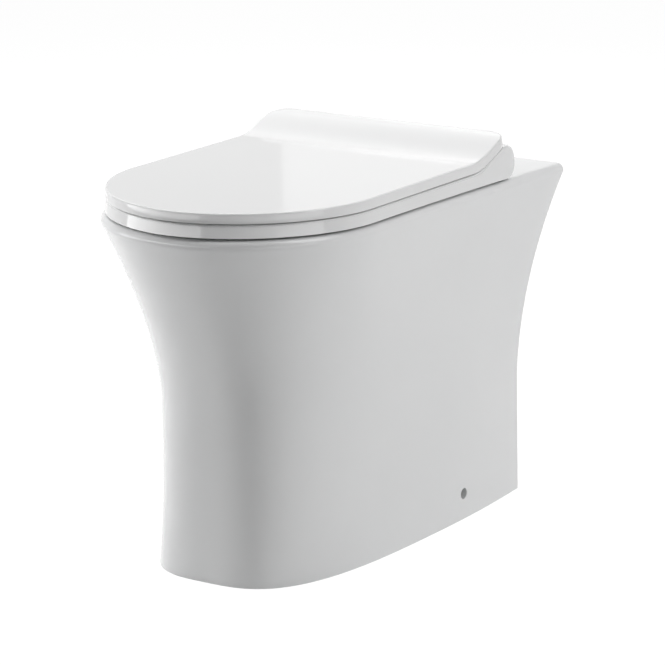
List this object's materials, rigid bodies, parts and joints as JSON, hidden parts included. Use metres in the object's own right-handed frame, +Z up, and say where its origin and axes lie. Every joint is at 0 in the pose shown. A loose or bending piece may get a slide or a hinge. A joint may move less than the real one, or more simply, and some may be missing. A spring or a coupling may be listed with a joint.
{
  "type": "back to wall toilet",
  "caption": "Floor-standing toilet pan whose flared skirt meets the wall, with a bowl and water trap inside, a slim D-shaped seat ring and a soft-close lid.",
  "frame": {"origin": "On the floor, below the middle of the whole object: half way between the nose of the pan and the wall plane, on the plane of symmetry", "axes": "+Z up, the user sits facing -Y, the wall is at +Y, and +X is the left hand of a seated user"},
  "size_m": [0.351, 0.529, 0.4503],
  "materials": {
    "ceramic": "white vitreous china under a clear gloss glaze",
    "seat_plastic": "white moulded urea resin, polished",
    "satin_metal": "satin cast metal",
    "steel": "plain stainless steel",
    "damper_plastic": "dark grey acetal",
    "buffer": "translucent white soft plastic",
    "gasket": "white soft sheet",
    "bush_rubber": "black rubber",
    "brass": "turned brass",
    "bracket_metal": "zinc plated pressing"
  },
  "bodies": {
    "pan_body": {"pan": "ceramic", "hinge_block_left": "satin_metal", "hinge_block_right": "satin_metal", "damper_left": "damper_plastic", "damper_right": "damper_plastic", "hinge_pin_left": "steel", "hinge_pin_right": "steel", "hinge_post_left": "satin_metal", "hinge_post_right": "satin_metal", "post_gasket_left": "gasket", "post_gasket_right": "gasket", "fixing_bolt_left": "steel", "fixing_bolt_right": "steel", "expanding_bush_left": "bush_rubber", "expanding_bush_right": "bush_rubber", "cone_nut_left": "brass", "cone_nut_right": "brass", "grub_screws": "steel", "floor_bracket_left": "bracket_metal", "floor_bracket_right": "bracket_metal"},
    "seat_body": {"seat_ring": "seat_plastic", "ring_buffers": "buffer"},
    "lid_body": {"lid": "seat_plastic", "lid_buffers": "buffer"}
  },
  "joints": [
    {"name": "seat_hinge", "type": "hinge", "parent": "pan_body", "child": "seat_body", "pos_m": [0, 0.1695, 0.426], "axis": [-1, 0, 0], "range_deg": [0, 95]},
    {"name": "lid_hinge", "type": "hinge", "parent": "seat_body", "child": "lid_body", "pos_m": [0, 0.1695, 0.426], "axis": [-1, 0, 0], "range_deg": [0, 95]}
  ]
}
